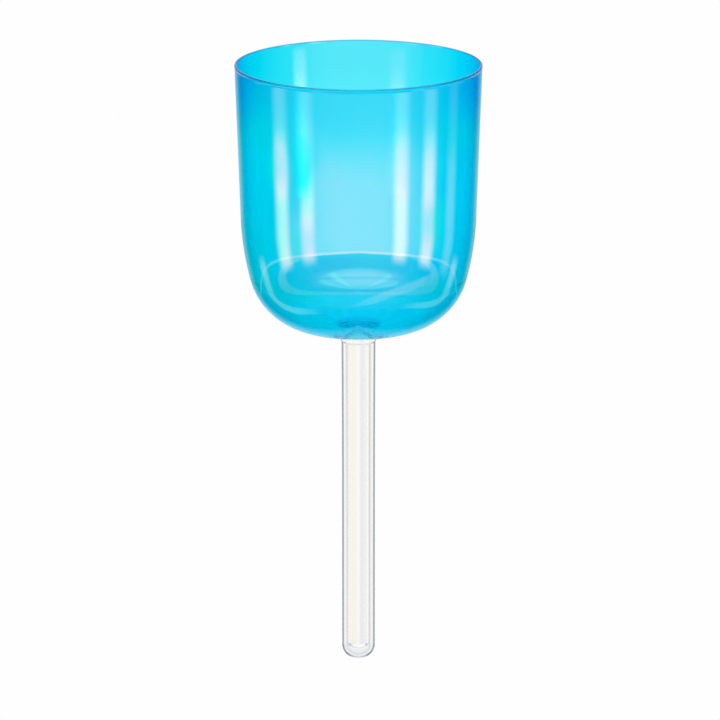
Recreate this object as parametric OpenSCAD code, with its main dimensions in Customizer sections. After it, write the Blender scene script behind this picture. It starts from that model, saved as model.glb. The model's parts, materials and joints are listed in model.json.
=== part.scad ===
// Hand-held glass bell: a tall coated quartz bowl, mouth up, flame-welded to a closed quartz tube handle.
// Millimetres, +Z along the axis towards the rim, origin at the lowest point of the handle's rounded end.

/* [Bowl] */
// Outside diameter across the rim
rim_d = 178; // [140:1:230]
// Height of the bowl, from the underside of its floor to the rim
bowl_h = 198; // [175:1:260]
// Wall thickness at the rim
wall_t = 2; // [1.6:0.1:3.5]
// Thickness of the floor on the axis
floor_t = 3.2; // [2:0.1:5]
// Slope of the straight wall from the vertical, in degrees
wall_slope = 2; // [0:0.5:4]
// Radius of the long arc by which the wall begins to turn in
side_r = 205; // [150:5:260]
// Slope from the vertical where the side arc meets the knuckle, in degrees
side_slope = 15; // [10:1:20]
// Radius of the knuckle between side and floor
knuckle_r = 49; // [35:1:60]
// Slope from the vertical where the knuckle meets the domed floor, in degrees
knuckle_slope = 77; // [70:1:82]

/* [Rim] */
// Rounding of the two edges of the ground rim
rim_round = 0.5; // [0.2:0.1:0.7]

/* [Handle] */
// Length of the handle, from its tip to the underside of the bowl
handle_l = 247; // [180:1:320]
// Outside diameter of the straight part of the tube
tube_d = 24; // [20:0.5:30]
// Diameter of the bore
bore_d = 11.4; // [8:0.2:16]
// Outside diameter of the tube where it meets the bowl
tube_top_d = 24.8; // [24:0.2:34]
// Length of the straight part of the tube, above the closed end
straight_l = 118; // [60:1:150]

/* [Weld] */
// Diameter of the weld where it spreads on the bowl
weld_d = 31; // [30:0.5:36]
// Diameter of the weld's collar
collar_d = 26.2; // [25.4:0.2:28]
// Height of the collar down the tube
weld_h = 7; // [5:0.5:10]
// Height over which the collar runs out onto the tube
foot_h = 1.6; // [1:0.2:2.4]

/* [Closed end] */
// Height of the closed end, from its tip to its joint with the tube
end_h = 12; // [11:0.5:16]
// Radius of the corner of the rounded end
corner_r = 9.8; // [6:0.2:9.8]
// Radius of the shallow dome under the rounded end
dome_r = 50; // [30:1:80]
// Depth of the dished bottom of the bore below the joint
dish_h = 4.4; // [2:0.2:6]

/* [Hidden] */
$fn = 96;

rim_r = rim_d / 2;
tube_r = tube_d / 2;
tube_top_r = tube_top_d / 2;
bore_r = bore_d / 2;
weld_r = weld_d / 2;
collar_r = collar_d / 2;
rim_z = handle_l + bowl_h;
coated_glass = [0.30, 0.80, 0.92, 0.55];
clear_quartz = [0.90, 0.94, 0.95, 0.55];

// The unit vector out of the bowl where its outline has a given slope.
function outward(slope) = [cos(slope), -sin(slope)];

// The outline's step from one slope to another along an arc.
function arc_step(r, from, to) = r * (outward(to) - outward(from));

// The domed floor's radius is set by how far out the knuckle ends, and its drop follows from that.
floor_drop = (1 - sin(knuckle_slope)) / cos(knuckle_slope);
turned = arc_step(side_r, wall_slope, side_slope) + arc_step(knuckle_r, side_slope, knuckle_slope);
wall_l = (bowl_h + turned[1] - floor_drop * (rim_r + turned[0]))
       / (cos(wall_slope) - floor_drop * sin(wall_slope));
wall_end = [rim_r, rim_z] - wall_l * [sin(wall_slope), cos(wall_slope)];
side_end = wall_end + arc_step(side_r, wall_slope, side_slope);
knuckle_end = side_end + arc_step(knuckle_r, side_slope, knuckle_slope);
floor_r = knuckle_end[0] / cos(knuckle_slope);

// Points of the bowl's outer outline as [point, slope], from the lower end of the straight wall to the axis.
function arc_stations(start, r, from, to, count) =
    [for (i = [1:count]) let (slope = from + (to - from) * i / count)
        [start + arc_step(r, from, slope), slope]];
stations = concat(
    [[wall_end, wall_slope]],
    arc_stations(wall_end, side_r, wall_slope, side_slope, 5),
    arc_stations(side_end, knuckle_r, side_slope, knuckle_slope, 14),
    arc_stations(knuckle_end, floor_r, knuckle_slope, 90, 4));

// The glass thickens evenly with the turn of the outline, from the wall to the floor.
function glass_t(slope) = wall_t + (floor_t - wall_t) * (slope - wall_slope) / (90 - wall_slope);
outer_line = [for (s = stations) s[0]];
inner_line = [for (s = stations) s[0] - glass_t(s[1]) * outward(s[1])];

// A quarter round of the rim, about a centre, from one direction to another.
function rim_edge(centre, from, to) =
    [for (i = [0:4]) let (a = from + (to - from) * i / 4) centre + rim_round * [cos(a), sin(a)]];

module bowl_outline() {
    edge_z = rim_z - rim_round;
    polygon(concat(
        rim_edge([rim_r - wall_t + rim_round, edge_z], 180, 90),
        rim_edge([rim_r - rim_round, edge_z], 90, 0),
        outer_line,
        [for (i = [len(inner_line) - 1:-1:0]) inner_line[i]]));
}

// The solid inside the bowl's outer surface, which trims the pieces welded to it.
module bowl_envelope() {
    rotate_extrude() polygon(concat([[0, rim_z], [rim_r, rim_z]], outer_line));
}

// The tube's radius at a height: straight, then a slight flare up to the bowl.
flare_z = end_h + straight_l;
function tube_r_at(z) = tube_r + (tube_top_r - tube_r) * pow(max(0, z - flare_z) / (handle_l - flare_z), 2);
flare_count = 8;
flare_line = [for (i = [0:flare_count]) let (z = flare_z + (handle_l - flare_z) * i / flare_count)
    [tube_r_at(z), z]];

module bowl() {
    color(coated_glass)
        rotate_extrude() bowl_outline();
}

module neck_weld() {
    overlap = 2;
    foot_z = handle_l - weld_h;
    fillet_r = weld_r - collar_r;
    // The underside of the domed floor has risen this much where the weld ends on it.
    floor_rise = floor_r - sqrt(pow(floor_r, 2) - pow(weld_r, 2));
    color(clear_quartz)
        difference() {
            rotate_extrude() difference() {
                union() {
                    polygon([[bore_r, foot_z], [tube_r_at(foot_z), foot_z], [collar_r, foot_z + foot_h],
                             [collar_r, handle_l + overlap], [bore_r, handle_l + overlap]]);
                    translate([bore_r, handle_l + floor_rise - fillet_r])
                        square([weld_r - bore_r, fillet_r + overlap]);
                }
                translate([weld_r, handle_l + floor_rise - fillet_r]) circle(r = fillet_r);
            }
            rotate_extrude() polygon(concat(
                [[0, end_h], [tube_r, end_h]], flare_line, [[tube_top_r, handle_l + overlap], [0, handle_l + overlap]]));
            bowl_envelope();
        }
}

module handle_tube() {
    overlap = 2;
    color(clear_quartz)
        difference() {
            rotate_extrude() polygon(concat(
                [[bore_r, end_h], [tube_r, end_h]], flare_line,
                [[tube_top_r, handle_l + overlap], [bore_r, handle_l + overlap]]));
            bowl_envelope();
        }
}

// The rounded end is tangent to the tube at its corner and to the shallow dome under it.
corner_in = tube_r - corner_r;
corner_z = dome_r - sqrt(pow(dome_r - corner_r, 2) - pow(corner_in, 2));
dome_a = asin(corner_in / (dome_r - corner_r));

module handle_end() {
    corner_count = 12;
    dish_r = (pow(bore_r, 2) + pow(dish_h, 2)) / (2 * dish_h);
    corner = [for (i = [0:corner_count]) let (a = dome_a + (90 - dome_a) * i / corner_count)
        [corner_in + corner_r * sin(a), corner_z - corner_r * cos(a)]];
    dome = [for (i = [0:1]) let (a = dome_a * i / 2) [dome_r * sin(a), dome_r * (1 - cos(a))]];
    color(clear_quartz)
        rotate_extrude() difference() {
            polygon(concat(dome, corner, [[tube_r, end_h], [0, end_h]]));
            intersection() {
                translate([0, end_h - dish_h + dish_r]) circle(r = dish_r);
                square([bore_r, end_h + 1]);
            }
        }
}

bowl();
neck_weld();
handle_tube();
handle_end();
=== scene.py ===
import json
import math

import bpy
import numpy as np
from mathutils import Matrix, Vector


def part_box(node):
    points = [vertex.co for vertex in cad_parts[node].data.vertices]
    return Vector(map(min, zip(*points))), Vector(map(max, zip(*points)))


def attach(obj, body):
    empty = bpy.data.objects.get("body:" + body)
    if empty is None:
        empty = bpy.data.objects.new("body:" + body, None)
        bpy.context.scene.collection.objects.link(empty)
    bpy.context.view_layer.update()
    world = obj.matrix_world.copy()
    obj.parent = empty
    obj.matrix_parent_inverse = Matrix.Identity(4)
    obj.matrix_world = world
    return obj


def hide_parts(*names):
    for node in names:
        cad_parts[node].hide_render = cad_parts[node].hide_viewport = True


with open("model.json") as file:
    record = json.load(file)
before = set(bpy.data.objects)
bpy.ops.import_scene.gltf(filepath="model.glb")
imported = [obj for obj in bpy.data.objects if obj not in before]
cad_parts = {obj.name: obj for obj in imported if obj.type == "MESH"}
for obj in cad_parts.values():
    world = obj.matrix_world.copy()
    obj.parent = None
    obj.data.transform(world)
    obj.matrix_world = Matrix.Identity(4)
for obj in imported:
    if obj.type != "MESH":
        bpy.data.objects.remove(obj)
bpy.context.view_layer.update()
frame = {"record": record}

# The bowl. One shell of fused quartz, spun and blown to a deep cup with a soft knuckle and a gently domed
# floor, its rim ground level and its edges eased. An aqua coating a few millionths of a metre thick is fired
# on, with a pearly skin thinner still. Lengths here are in metres and angles in degrees, if nothing else is said.
bowl_low, bowl_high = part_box("bowl")
wall_thickness, floor_thickness = 0.002, 0.0032
rim_radius = frame["record"]["mounts"][1]["pos_m"][0] + wall_thickness / 2
rim_height = bowl_high[2]
bowl_underside = bowl_low[2]
wall_slope = 2.0
side_radius, side_slope = 0.205, 15.0
knuckle_radius, knuckle_slope = 0.049, 77.0
floor_slope = 90.0
rim_rounding = 0.0005
weld_radius, bore_radius = 0.0155, 0.0057
wall_steps, side_steps, knuckle_steps, floor_steps = 40, 60, 110, 120


def outward(slope):
    """The direction out of the glass where the bowl's outline leans by a slope in degrees from the vertical."""
    lean = math.radians(slope)
    return np.array([math.cos(lean), -math.sin(lean)])


def bowl_outline():
    """The bowl's outer outline from the rim to the axis, as points with the slope at each."""
    drop = rim_height - bowl_underside
    turned = (side_radius * (outward(side_slope) - outward(wall_slope))
              + knuckle_radius * (outward(knuckle_slope) - outward(side_slope)))
    dome = (1 - math.sin(math.radians(knuckle_slope))) / math.cos(math.radians(knuckle_slope))
    lean = math.radians(wall_slope)
    wall = (drop + turned[1] - dome * (rim_radius + turned[0])) / (math.cos(lean) - dome * math.sin(lean))
    down = np.array([-math.sin(lean), -math.cos(lean)])
    rim = np.array([rim_radius, rim_height])
    line = [(rim + down * (rim_rounding + (wall - rim_rounding) * i / wall_steps), wall_slope)
            for i in range(wall_steps + 1)]
    for radius, slope, steps in ((side_radius, side_slope, side_steps),
                                 (knuckle_radius, knuckle_slope, knuckle_steps),
                                 (None, floor_slope, floor_steps)):
        start, before = line[-1]
        radius = radius or start[0] / outward(before)[0]
        for i in range(1, steps + 1):
            now = before + (slope - before) * i / steps
            line.append((start + radius * (outward(now) - outward(before)), now))
    return line


def bend(centre, radius, start, end, steps=8):
    """Points of an arc in an outline, between two directions in degrees."""
    angles = np.radians(np.linspace(start, end, steps + 1))
    return [centre + radius * np.array([math.cos(a), math.sin(a)]) for a in angles]


def turn(name, outlines, material, around=288):
    """Turns outlines, each a list of points (radius, height), about the axis into one smooth skin."""
    verts, faces = [], []
    turns = [2 * math.pi * k / around for k in range(around)]
    circle = [(math.sin(t), -math.cos(t)) for t in turns]
    for outline in outlines:
        rings = []
        for radius, height in outline:
            on_axis = radius < 1e-6
            rings.append(list(range(len(verts), len(verts) + (1 if on_axis else around))))
            verts += [(0, 0, height)] if on_axis else [(radius * x, radius * y, height) for x, y in circle]
        for a, b in zip(rings, rings[1:]):
            for k in range(around):
                m = (k + 1) % around
                if len(a) == 1:
                    faces.append((a[0], b[m], b[k]))
                elif len(b) == 1:
                    faces.append((a[k], a[m], b[0]))
                else:
                    faces.append((a[k], a[m], b[m], b[k]))
    mesh = bpy.data.meshes.new(name)
    mesh.from_pydata(verts, [], faces)
    mesh.polygons.foreach_set("use_smooth", [True] * len(mesh.polygons))
    mesh.validate()
    mesh.update()
    piece = bpy.data.objects.new(name, mesh)
    bpy.context.scene.collection.objects.link(piece)
    mesh.materials.append(material)
    return piece


def quartz(name, plain_colour):
    """Polished fused quartz. The plain colour is what a tool sees that reads no nodes."""
    material = bpy.data.materials.new(name)
    material.use_nodes = True
    glass = material.node_tree.nodes["Principled BSDF"]
    glass.inputs["Base Color"].default_value = (*plain_colour, 1)
    glass.inputs["Roughness"].default_value = 0.0
    glass.inputs["IOR"].default_value = 1.458
    glass.inputs["Transmission Weight"].default_value = 1.0
    return material, material.node_tree, glass


def feed(tree, socket, value):
    """Gives a socket a number, or the output of another node."""
    if isinstance(value, (int, float)):
        socket.default_value = value
    else:
        tree.links.new(value, socket)


def work_out(tree, operation, *values):
    """The result of one step of arithmetic on numbers or outputs."""
    node = tree.nodes.new("ShaderNodeMath")
    node.operation = operation
    for socket, value in zip(node.inputs, values):
        feed(tree, socket, value)
    return node.outputs[0]


def fade(tree, value, low, high, start, end, smooth=True):
    """Goes from start to end while the value goes from low to high, and stays there."""
    node = tree.nodes.new("ShaderNodeMapRange")
    node.interpolation_type = "SMOOTHSTEP" if smooth else "LINEAR"
    for key, given in (("Value", value), ("From Min", low), ("From Max", high),
                       ("To Min", start), ("To Max", end)):
        feed(tree, node.inputs[key], given)
    return node.outputs[0]


def by_angle(tree, stops):
    """A colour that changes with the angle the glass is seen at, from stops of 0 head on to 1 at a slant."""
    slant = tree.nodes.new("ShaderNodeLayerWeight")
    colour = tree.nodes.new("ShaderNodeValToRGB")
    ramp_stops = colour.color_ramp.elements
    for stop, (at, shade) in zip((ramp_stops[0], ramp_stops[1]), (stops[0], stops[-1])):
        stop.position = at
        stop.color = (*shade, 1)
    for at, shade in stops[1:-1]:
        ramp_stops.new(at).color = (*shade, 1)
    tree.links.new(slant.outputs["Facing"], colour.inputs[0])
    return colour.outputs["Color"]


def whereabouts(tree):
    """A point's place on the bell, its height and its distance from the axis."""
    place = tree.nodes.new("ShaderNodeTexCoord").outputs["Object"]
    parts = tree.nodes.new("ShaderNodeSeparateXYZ")
    tree.links.new(place, parts.inputs[0])
    level_place = tree.nodes.new("ShaderNodeVectorMath")
    level_place.operation = "MULTIPLY"
    level_place.inputs[1].default_value = (1, 1, 0)
    tree.links.new(place, level_place.inputs[0])
    from_axis = tree.nodes.new("ShaderNodeVectorMath")
    from_axis.operation = "LENGTH"
    tree.links.new(level_place.outputs[0], from_axis.inputs[0])
    return place, parts.outputs["Z"], from_axis.outputs["Value"]


def laid_over(tree, share, below, above, way):
    """One colour laid over another by a share, either mixed with it or multiplied into it."""
    layer = tree.nodes.new("ShaderNodeMix")
    layer.data_type = "RGBA"
    layer.blend_type = way
    tree.links.new(share, layer.inputs[0])
    for socket, colour in ((layer.inputs[6], below), (layer.inputs[7], above)):
        if isinstance(colour, tuple):
            socket.default_value = (*colour, 1)
        else:
            tree.links.new(colour, socket)
    return layer.outputs[2]


coated, tree, glass = quartz("coated_quartz", (0.35, 0.90, 1.0))
place, height, from_axis = whereabouts(tree)
aqua = by_angle(tree, ((0.03, (0.105, 0.87, 0.985)), (0.17, (0.012, 0.87, 0.985)), (0.43, (0.0, 0.90, 1.0)),
                       (0.64, (0.0, 0.80, 1.0)), (1.0, (0.0, 0.62, 0.96))))
# Painted shade: the upper bowl is darkened towards the rim, the more so where it is seen at a slant.
rim_painted_shade = by_angle(tree, ((0.03, (0.92, 0.93, 0.97)), (0.43, (0.8, 0.74, 0.97)), (0.70, (0.6, 0.58, 0.95))))
weld_painted_shade, lip_darker_tint, floor_painted_shade = (0.2, 0.62, 0.90), (0.5, 0.62, 0.85), (1.0, 0.94, 1.0)
rim_heights, floor_heights = (0.385, 0.43), (0.275, 0.30)
weld_heights, weld_radii = (0.254, 0.258), (0.0155, 0.0175)
lip_heights = (rim_height - 0.0009, rim_height - 0.0003)
near_rim = fade(tree, height, *rim_heights, 0.0, 1.0)
# Painted shade: the bowl is darker and bluer where it lies over the weld.
over_weld = work_out(tree, "MULTIPLY", fade(tree, from_axis, *weld_radii, 1.0, 0.0),
                     fade(tree, height, *weld_heights, 1.0, 0.0))
# The rounded lip of the rim is darker and bluer.
on_lip = fade(tree, height, *lip_heights, 0.0, 1.0)
# Painted shade: the bowl is a little less green low down, near its floor.
near_floor = fade(tree, height, *floor_heights, 1.0, 0.0)
# The coating's colour, with the painted shade and the darker lip multiplied into it.
coating_and_painted_shade = laid_over(tree, near_rim, aqua, rim_painted_shade, "MULTIPLY")
for share, tint_and_painted_shade in ((over_weld, weld_painted_shade), (on_lip, lip_darker_tint), (near_floor, floor_painted_shade)):
    coating_and_painted_shade = laid_over(tree, share, coating_and_painted_shade, tint_and_painted_shade, "MULTIPLY")
tree.links.new(coating_and_painted_shade, glass.inputs["Base Color"])

# The pearly skin on the coating, in nanometres: cloudy, and thicker or thinner in tall patches that make the
# tints of the long highlights. Each patch has its angle round the bowl, its height and what it adds.
skin_thinnest, skin_thickest, clouds_in_a_metre = 225, 270, 16
patches = ((-41, 0.386, 58), (-41, 0.338, -34), (-27, 0.392, -56), (-27, 0.362, -34), (-27, 0.333, 28),
           (21.6, 0.388, 44), (21.6, 0.342, -15), (38, 0.392, 38), (38, 0.344, 32))
patch_from_axis, patch_core, patch_reach, patch_squeeze = 0.0855, 0.003, 0.017, 0.5
cloud = tree.nodes.new("ShaderNodeTexNoise")
cloud.inputs["Scale"].default_value = clouds_in_a_metre
cloud.inputs["Detail"].default_value = 1.0
tree.links.new(place, cloud.inputs["Vector"])
skin = fade(tree, cloud.outputs["Fac"], 0.3, 0.7, skin_thinnest, skin_thickest, smooth=False)
squeezed = tree.nodes.new("ShaderNodeVectorMath")
squeezed.operation = "MULTIPLY"
squeezed.inputs[1].default_value = (1, 1, patch_squeeze)
tree.links.new(place, squeezed.inputs[0])
for angle, patch_height, added in patches:
    around = math.radians(angle)
    away = tree.nodes.new("ShaderNodeVectorMath")
    away.operation = "DISTANCE"
    tree.links.new(squeezed.outputs[0], away.inputs[0])
    away.inputs[1].default_value = (patch_from_axis * math.sin(around), -patch_from_axis * math.cos(around),
                                    patch_height * patch_squeeze)
    skin = work_out(tree, "ADD", fade(tree, away.outputs["Value"], patch_core, patch_reach, added, 0.0), skin)
tree.links.new(skin, glass.inputs["Thin Film Thickness"])
rim_index, wall_index, floor_index_drop = 1.5, 1.9, 0.20
skin_index = work_out(tree, "ADD", fade(tree, height, 0.435, 0.37, rim_index, wall_index),
                      fade(tree, height, 0.31, 0.285, 0.0, -floor_index_drop))
tree.links.new(skin_index, glass.inputs["Thin Film IOR"])

ridge_height, ridge_half, ridge_rise = 0.2865, 0.0016, 0.00035
dimple_radius, dimple_half, dimple_rise = 0.0172, 0.0011, 0.00030


def glass_at(point, slope):
    """The shell's thickness on its outline: growing evenly to the floor, with a faint ridge inside the knuckle
    and a faint ring in the floor over the weld."""
    share = (slope - wall_slope) / (floor_slope - wall_slope)
    grown = wall_thickness + (floor_thickness - wall_thickness) * share
    grown += dimple_rise * math.exp(-((point[0] - dimple_radius) / dimple_half) ** 2)
    return grown + ridge_rise * math.exp(-((point[1] - ridge_height) / ridge_half) ** 2)


stations = bowl_outline()
outer = [point for point, slope in stations]
inner = [point - glass_at(point, slope) * outward(slope) for point, slope in stations]
inner[-1][0] = outer[-1][0] = 0.0
edge = rim_height - rim_rounding
lip = (bend(np.array([rim_radius - wall_thickness + rim_rounding, edge]), rim_rounding, 180, 90)
       + bend(np.array([rim_radius - rim_rounding, edge]), rim_rounding, 90, 0))
upward = outer[::-1]
least_step, dome_part = 0.0002, 0.04


def on_bowl(radius):
    """Height of the bowl's underside at a distance from the axis, near the weld."""
    under = [p for p in upward if p[0] < dome_part]
    return float(np.interp(radius, [p[0] for p in under], [p[1] for p in under]))


# The underside is open in a ring where the weld and the tube are fused on, because clear glass has no face there.
outside = [(weld_radius, on_bowl(weld_radius))] + [p for p in upward if p[0] > weld_radius + least_step]
over_bore = [p for p in upward if p[0] < bore_radius - least_step] + [(bore_radius, on_bowl(bore_radius))]
bowl = turn("bowl_shell", [outside + lip[::-1][:-1] + inner[1:], over_bore], coated)
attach(bowl, "root")
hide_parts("bowl")

# The handle tube and its weld. A heavy-wall tube of colourless quartz, drawn straight and opened slightly where
# it meets the bowl, and a collar of the same quartz melted into the corner between them. The bowl, collar, tube
# and closed end are one run of glass, so no skin lies between them.
tube_low, tube_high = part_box("handle_tube")
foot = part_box("neck_weld")[0][2]
grip = frame["record"]["mounts"][0]["dims"]
tube_radius = grip["r_mm"] / 1000
flare_start = tube_low[2] + grip["length_mm"] / 1000
neck_radius = tube_high[0]
tube_steps = 90

clear, tree, glass = quartz("clear_quartz", (0.96, 0.96, 0.955))
height, from_axis = whereabouts(tree)[1:]
# Painted shade: the tube's clear quartz is darkened by the angle it is seen at, in a dark outline and a thin line
# beside the bore, deepening the lines that refraction makes; the dark lines are slightly blue.
tube_painted_shade_stops = ((0.0, 1.0), (0.06, 0.93), (0.25, 0.78),     # the open bore, duller towards its sides
               (0.283, 0.56), (0.36, 0.92),                # the thin line at the side of the bore
               (0.40, 1.0), (0.50, 1.0),                   # the clear wall
               (0.56, 0.42), (0.62, 0.24), (1.0, 0.42))    # the outline
tube_painted_shade = by_angle(tree, [(at, (grey, grey ** 0.97, grey ** 0.90)) for at, grey in tube_painted_shade_stops])
on_outside = fade(tree, from_axis, 0.0078, 0.0088, 0.0, 1.0)
below_weld = fade(tree, height, 0.2405, 0.2425, 1.0, 0.0)
# Painted light: at and above the weld the clear quartz is coloured blue, standing in for the light that reaches
# it through the coated bowl.
in_weld = fade(tree, height, 0.2430, 0.2450, 0.0, 1.0)
clear_tint, weld_painted_blue_light = (0.985, 0.985, 0.985), (0.05, 0.80, 0.97)
tint_and_painted_shade = laid_over(tree, work_out(tree, "MULTIPLY", on_outside, below_weld), clear_tint, tube_painted_shade, "MIX")
tree.links.new(laid_over(tree, in_weld, tint_and_painted_shade, weld_painted_blue_light, "MIX"), glass.inputs["Base Color"])


def tube_at(level):
    """The tube's outside radius at a height."""
    rise = max(0, level - flare_start) / (bowl_underside - flare_start)
    return tube_radius + (neck_radius - tube_radius) * rise ** 2


collar_radius, foot_height = 0.0131, 0.0016
foot_radius, foot_top = tube_at(foot), foot + foot_height
spread = weld_radius - collar_radius
spread_start = on_bowl(weld_radius) - spread
weld = [(foot_radius + (collar_radius - foot_radius) * t * t * (3 - 2 * t), foot + foot_height * t)
        for t in np.linspace(0, 1, 10)]
weld += [(collar_radius, foot_top + (spread_start - foot_top) * t) for t in (0.33, 0.66)]
weld += bend(np.array([weld_radius, spread_start]), spread, 180, 96, 16)
weld.append((weld_radius, on_bowl(weld_radius)))
outside = [(tube_at(z), z) for z in np.linspace(tube_low[2], foot, tube_steps)]
bore = [(bore_radius, z) for z in np.linspace(on_bowl(bore_radius), tube_low[2], tube_steps)]
collar = turn("weld_collar", [weld], clear)
tube = turn("tube", [outside, bore], clear)
for piece, node in ((collar, "neck_weld"), (tube, "handle_tube")):
    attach(piece, "root")
    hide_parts(node)

# The closed end. A plug of the same quartz, fused into the foot of the tube and rounded in the flame, with a
# shallow dish on top where the bore stops.
end_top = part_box("handle_end")[1][2]
corner_radius, dome_radius = 0.0098, 0.05
dish_depth = 0.0044
corner_in = tube_radius - corner_radius
corner_height = dome_radius - math.sqrt((dome_radius - corner_radius) ** 2 - corner_in ** 2)
dome_turn = math.degrees(math.asin(corner_in / (dome_radius - corner_radius)))
rounded = [(0.0, 0.0)] + bend(np.array([0, dome_radius]), dome_radius, -90, -90 + dome_turn)[1:]
rounded += bend(np.array([corner_in, corner_height]), corner_radius, -90 + dome_turn, 0, 40)[1:]
rounded.append((tube_radius, end_top))
dish_radius = (bore_radius ** 2 + dish_depth ** 2) / (2 * dish_depth)
dish_turn = math.degrees(math.asin(bore_radius / dish_radius))
dish = bend(np.array([0, end_top - dish_depth + dish_radius]), dish_radius, -90 + dish_turn, -90, 24)
dish[-1][0] = 0.0
closed_end = turn("closed_end", [rounded, dish], clear)
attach(closed_end, "root")
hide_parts("handle_end")

# The floor. A sheet of white paper, lit evenly. It is hidden from the glass, so it neither shows through the
# bell nor mirrors in it, and it takes no shadow.
paper_half, paper_gap, paper_white = 30, 0.0005, 0.99
floor_mesh = bpy.data.meshes.new("floor")
corners = [(x * paper_half, y * paper_half, 0) for x, y in ((-1, -1), (1, -1), (1, 1), (-1, 1))]
floor_mesh.from_pydata(corners, [], [(0, 1, 2, 3)])
floor = bpy.data.objects.new("floor", floor_mesh)
bpy.context.scene.collection.objects.link(floor)
floor.location.z = -paper_gap
paper = bpy.data.materials.new("paper")
paper.use_nodes = True
paper.node_tree.nodes.clear()
glow = paper.node_tree.nodes.new("ShaderNodeEmission")
glow.inputs["Color"].default_value = (paper_white, paper_white, paper_white, 1)
paper_out = paper.node_tree.nodes.new("ShaderNodeOutputMaterial")
paper.node_tree.links.new(glow.outputs[0], paper_out.inputs["Surface"])
floor_mesh.materials.append(paper)
floor.visible_transmission = False
floor.visible_glossy = False
floor.visible_diffuse = False
floor.visible_shadow = False

# The light. It is staged, not one real room: light that passes through the glass comes from a white tent, and
# light that reflects off it comes from a dim room with tall strip lights, a backdrop and a table edge. Azimuth
# is 0 straight behind the bell and 180 at the camera, and elevation is 0 level and negative below.
world = bpy.data.worlds.new("studio")
bpy.context.scene.world = world
world.use_nodes = True
studio = world.node_tree
studio.nodes.clear()


def calc(operation, *values):
    return work_out(studio, operation, *values)


def ramp(value, low, high, start, end):
    return fade(studio, value, low, high, start, end)


def band(value, centre, half, soft, power):
    """A light of a given power within half of its centre, fading to nothing over the soft edge."""
    return ramp(calc("ABSOLUTE", calc("SUBTRACT", value, centre)), half, half + soft, power, 0.0)


def all_of(operation, first, *rest):
    """Adds or multiplies any number of parts."""
    for part in rest:
        first = calc(operation, first, part)
    return first


ray = studio.nodes.new("ShaderNodeLightPath").outputs
towards = studio.nodes.new("ShaderNodeSeparateXYZ")
studio.links.new(studio.nodes.new("ShaderNodeTexCoord").outputs["Generated"], towards.inputs[0])
azimuth = calc("DEGREES", calc("ARCTAN2", towards.outputs["X"], towards.outputs["Y"]))
elevation = calc("DEGREES", calc("ARCSINE", towards.outputs["Z"]))
off_back = calc("ABSOLUTE", azimuth)
off_front = calc("SUBTRACT", 180.0, off_back)
sideways = calc("MULTIPLY", off_front, calc("SIGN", azimuth))

# The white tent, cream on the left of the middle and lilac on the right, a little brighter at its sides and
# dark overhead at the sides.
tent_level = band(elevation, -18.0, 9.0, 5.0, 1.0)
cream = all_of("MULTIPLY", ramp(azimuth, -38, -31, 0.0, 1.0), ramp(azimuth, -4, 0, 1.0, 0.0), tent_level)
lilac = all_of("MULTIPLY", ramp(azimuth, 0, 6, 0.0, 1.0), ramp(azimuth, 31, 38, 1.0, 0.0), tent_level)
overhead = calc("MULTIPLY", ramp(elevation, 12, 30, 0.0, 0.8), ramp(off_back, 20, 50, 0.0, 1.0))
sides = calc("MULTIPLY", band(off_back, 50, 5, 6, 0.13), tent_level)
tent = calc("SUBTRACT", calc("ADD", 1.0, sides), overhead)

# Two effects go by how often the light has bounced, and by elevations that suit the main camera's tilt: the
# strip lights mirrored inside the bowl's far wall, and a shade on what the underside of the bowl mirrors.
early = calc("LESS_THAN", ray["Ray Depth"], 4.5)
far_wall_strips = calc("MULTIPLY", calc("ADD", band(azimuth, 121, 3, 7, 1.0), band(azimuth, -141, 3, 9, 0.5)),
                       band(elevation, -10.4, 1.2, 1.8, 1.0))
mirrored = calc("MULTIPLY", calc("GREATER_THAN", ray["Glossy Depth"], 0.5),
                calc("MULTIPLY", ramp(elevation, -52, -44, 0.0, 1.0), ramp(elevation, -30, -20, 1.0, 0.0)))

# The dim room: tall strip lights that stop at the table's edge, the table in front, its edge line and the
# backdrop. Each strip has its azimuth, half width, soft edge and power.
strips = ((79, 1, 9, 0.5), (108, 2, 9, 2.4), (138, 2, 9, 2.4), (-129, 2, 9, 2.0), (-100, 2, 10, 2.5))
over_table = calc("MULTIPLY_ADD", off_front, 0.030, elevation)
tall_strips = calc("MULTIPLY", all_of("ADD", *(band(azimuth, *strip) for strip in strips)),
                   ramp(over_table, -26, -20.5, 0.0, 1.0))
table = all_of("MULTIPLY", ramp(off_front, 15, 95, 1.0, 0.0), ramp(over_table, -21.6, -20.9, 0.14, 1.0),
               ramp(elevation, -58, -42, 0.1, 1.0))
table_edge = calc("MULTIPLY", ramp(off_front, 60, 130, 1.0, 0.5), band(over_table, -20.7, 0.25, 0.35, 0.6))
backdrop = ramp(off_back, 8, 38, 1.0, 0.0)


def oval(across, tall, middle, power):
    """Distance from the middle of an oval reflector low in front of the bowl, as a share of its size."""
    x = calc("POWER", calc("DIVIDE", off_front, across), power)
    y = calc("POWER", calc("ABSOLUTE", calc("DIVIDE", calc("SUBTRACT", elevation, middle), tall)), power)
    return calc("POWER", calc("ADD", x, y), 1 / power)


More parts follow.
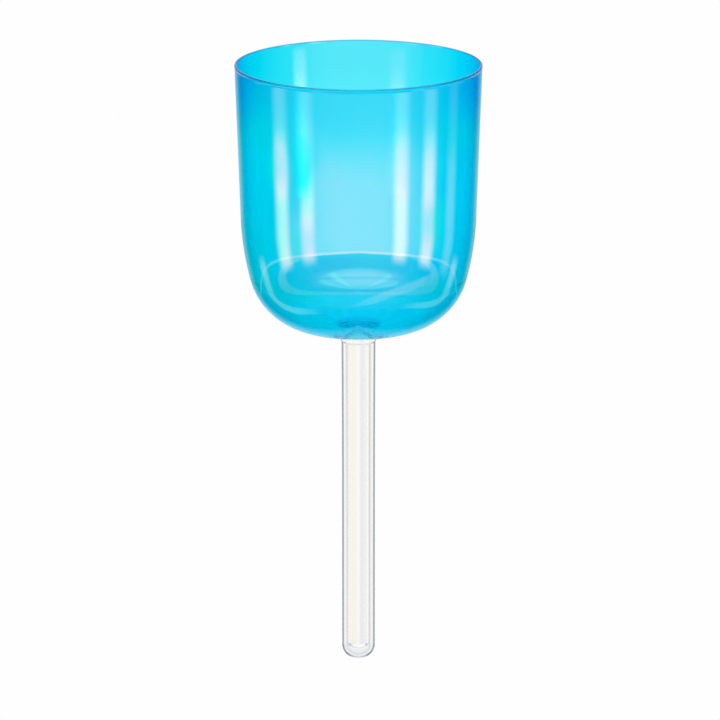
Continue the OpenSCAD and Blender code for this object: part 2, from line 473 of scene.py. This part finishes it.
# The low reflectors: a pool with a dark line across it, a thin ring round it, a hoop at the sides and a sweep.
pool = calc("MULTIPLY", ramp(oval(62.0, 5.6, -32.4, 2.0), 0.35, 1.0, 0.8, 0.0),
            calc("SUBTRACT", 1.0, band(elevation, -31.9, 0.2, 0.7, 0.5)))
ring = band(oval(91.0, 9.0, -29.8, 2.0), 1.0, 0.045, 0.05, 0.35)
hoop_outer, hoop_inner = ramp(sideways, -60, 60, 40, 30), ramp(sideways, -60, 60, 31, 22)
hoop_band = calc("MULTIPLY", ramp(oval(123.0, hoop_outer, -20.0, 4.0), 0.97, 1.03, 1.0, 0.0),
                 ramp(oval(113.0, hoop_inner, -20.0, 4.0), 0.97, 1.03, 0.0, 1.0))
hoop_part = calc("MULTIPLY", ramp(off_front, 50, 100, 0.0, 1.0), ramp(elevation, -24, -20, 1.0, 0.0))
hoop = calc("MULTIPLY", hoop_band, hoop_part)
sweep_part = calc("MULTIPLY", ramp(sideways, -30, 25, 0.0, 1.0), ramp(sideways, 75, 95, 1.0, 0.0))
sweep = calc("MULTIPLY", band(calc("MULTIPLY_ADD", sideways, -0.18, elevation), -45.0, 1.0, 1.6, 0.6), sweep_part)
warm_lights = all_of("ADD", tall_strips, ring, hoop, sweep, table_edge)


def pick(choice, otherwise, chosen):
    """One of two brightnesses, by whether the choice is 1."""
    either = studio.nodes.new("ShaderNodeMix")
    either.data_type = "FLOAT"
    for socket, value in ((either.inputs[0], choice), (either.inputs[2], otherwise), (either.inputs[3], chosen)):
        feed(studio, socket, value)
    return either.outputs[0]


warm_colour, pool_colour, backdrop_colour = (1.0, 0.65, 0.35), (0.9, 0.7, 1.2), (0.48, 0.56, 0.80)
cream_change, lilac_change = (-0.02, -0.03, -0.17), (-0.13, -0.13, -0.09)
mirrored_change = (-0.40, -0.28, -0.12)
early_colour, strip_power = (150, 2.5, 1.5), 1.5
colour = studio.nodes.new("ShaderNodeCombineColor")
for channel, socket in enumerate(colour.inputs):
    through = calc("MULTIPLY_ADD", lilac, lilac_change[channel], tent)
    through = calc("MULTIPLY_ADD", cream, cream_change[channel], through)
    through = calc("MULTIPLY", through, calc("MULTIPLY_ADD", mirrored, mirrored_change[channel], 1.0))
    strip_light = calc("MULTIPLY_ADD", early, early_colour[channel], strip_power)
    through = calc("MULTIPLY_ADD", far_wall_strips, strip_light, through)
    reflected = calc("MULTIPLY_ADD", backdrop, backdrop_colour[channel], table)
    reflected = calc("MULTIPLY_ADD", warm_lights, warm_colour[channel], reflected)
    reflected = calc("MULTIPLY_ADD", pool, pool_colour[channel], reflected)
    on_glass = pick(ray["Is Transmission Ray"], reflected, through)
    studio.links.new(pick(ray["Is Camera Ray"], on_glass, paper_white), socket)
background = studio.nodes.new("ShaderNodeBackground")
studio.links.new(colour.outputs[0], background.inputs["Color"])
world_out = studio.nodes.new("ShaderNodeOutputWorld")
studio.links.new(background.outputs[0], world_out.inputs[0])

# The camera. A long lens some four metres away, looking slightly down, with the bell upright in its frame.
tilt = math.radians(14.7)
distance = 4.215
aim = np.array([0.0011, 0.0, 0.2258])
camera_data = bpy.data.cameras.new("camera")
camera = bpy.data.objects.new("camera", camera_data)
bpy.context.scene.collection.objects.link(camera)
camera.location = aim + distance * np.array([0, -math.cos(tilt), math.sin(tilt)])
camera.rotation_euler = (math.pi / 2 - tilt, 0, 0)
camera_data.sensor_width = 36
camera_data.lens = 290
camera_data.clip_end = 100
scene = bpy.context.scene
scene.camera = camera
scene.view_settings.view_transform = "Standard"
bounces_in_glass = 160
scene.cycles.max_bounces = bounces_in_glass
scene.cycles.transmission_bounces = bounces_in_glass
scene.cycles.glossy_bounces = bounces_in_glass
